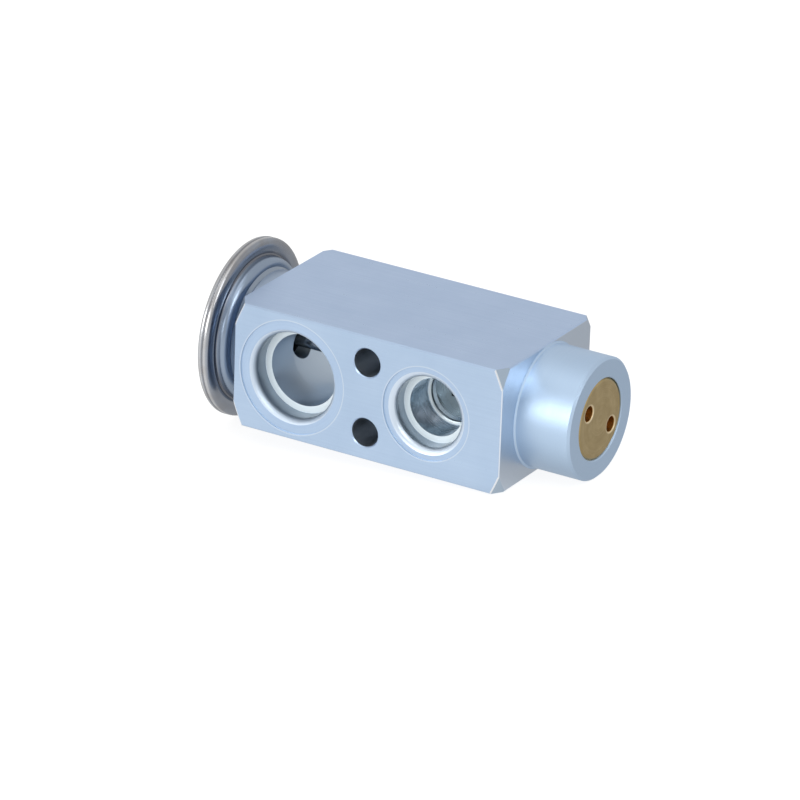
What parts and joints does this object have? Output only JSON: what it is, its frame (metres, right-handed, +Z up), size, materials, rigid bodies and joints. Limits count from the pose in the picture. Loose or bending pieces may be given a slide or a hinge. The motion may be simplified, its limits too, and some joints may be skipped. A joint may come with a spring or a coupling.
{
  "type": "expansion valve",
  "caption": "Block expansion valve for a vehicle air conditioner: aluminium body with stepped ports, welded diaphragm head, stem, ball, spring and brass adjuster.",
  "frame": {"origin": "on the long axis, midway between the two fixing holes", "axes": "+X along the long axis towards the adjuster, the head at -X; +Y towards the back port face, along the fixing holes; +Z up through the block's wide side"},
  "size_m": [0.0917, 0.0396, 0.0396],
  "materials": {
    "body_aluminium": "satin",
    "head_steel": "satin",
    "diaphragm_steel": "satin",
    "inner_steel": "satin",
    "stem_steel": "polished",
    "ball_steel": "polished",
    "spring_steel": "satin",
    "adjuster_brass": "satin",
    "seal_rubber": "matte"
  },
  "bodies": {
    "valve": {"valve_body": "body_aluminium", "head_lower_shell": "head_steel", "head_upper_shell": "head_steel", "diaphragm": "diaphragm_steel", "charge_plug": "head_steel", "head_gasket": "seal_rubber", "stem_seal": "seal_rubber", "seal_retainer": "inner_steel", "control_spring": "spring_steel"},
    "valve_stem": {"support_disc": "inner_steel", "stem": "stem_steel", "valve_ball": "ball_steel", "ball_carrier": "inner_steel", "damper_clip": "diaphragm_steel"},
    "adjuster_seal": {"adjuster_o_ring": "seal_rubber"},
    "adjuster_screw": {"adjuster": "adjuster_brass"}
  },
  "joints": [
    {"name": "valve_lift", "type": "slide", "parent": "valve", "child": "valve_stem", "axis": [1, 0, 0], "range_m": [0, 0.0008], "stiffness_N_per_m": 4000, "springref_m": -0.003, "deforming": ["control_spring", "diaphragm"]},
    {"name": "adjuster_travel", "type": "slide", "parent": "valve", "child": "adjuster_seal", "axis": [1, 0, 0], "range_m": [-0.003, 0], "deforming": ["control_spring"]},
    {"name": "adjuster_turn", "type": "hinge", "parent": "adjuster_seal", "child": "adjuster_screw", "pos_m": [0.04, 0, 0], "axis": [1, 0, 0], "range_deg": [-1095, 15]}
  ],
  "couplings": [
    {"joint": "adjuster_turn", "follows": "adjuster_travel", "rad_per_m": 6283.2}
  ]
}
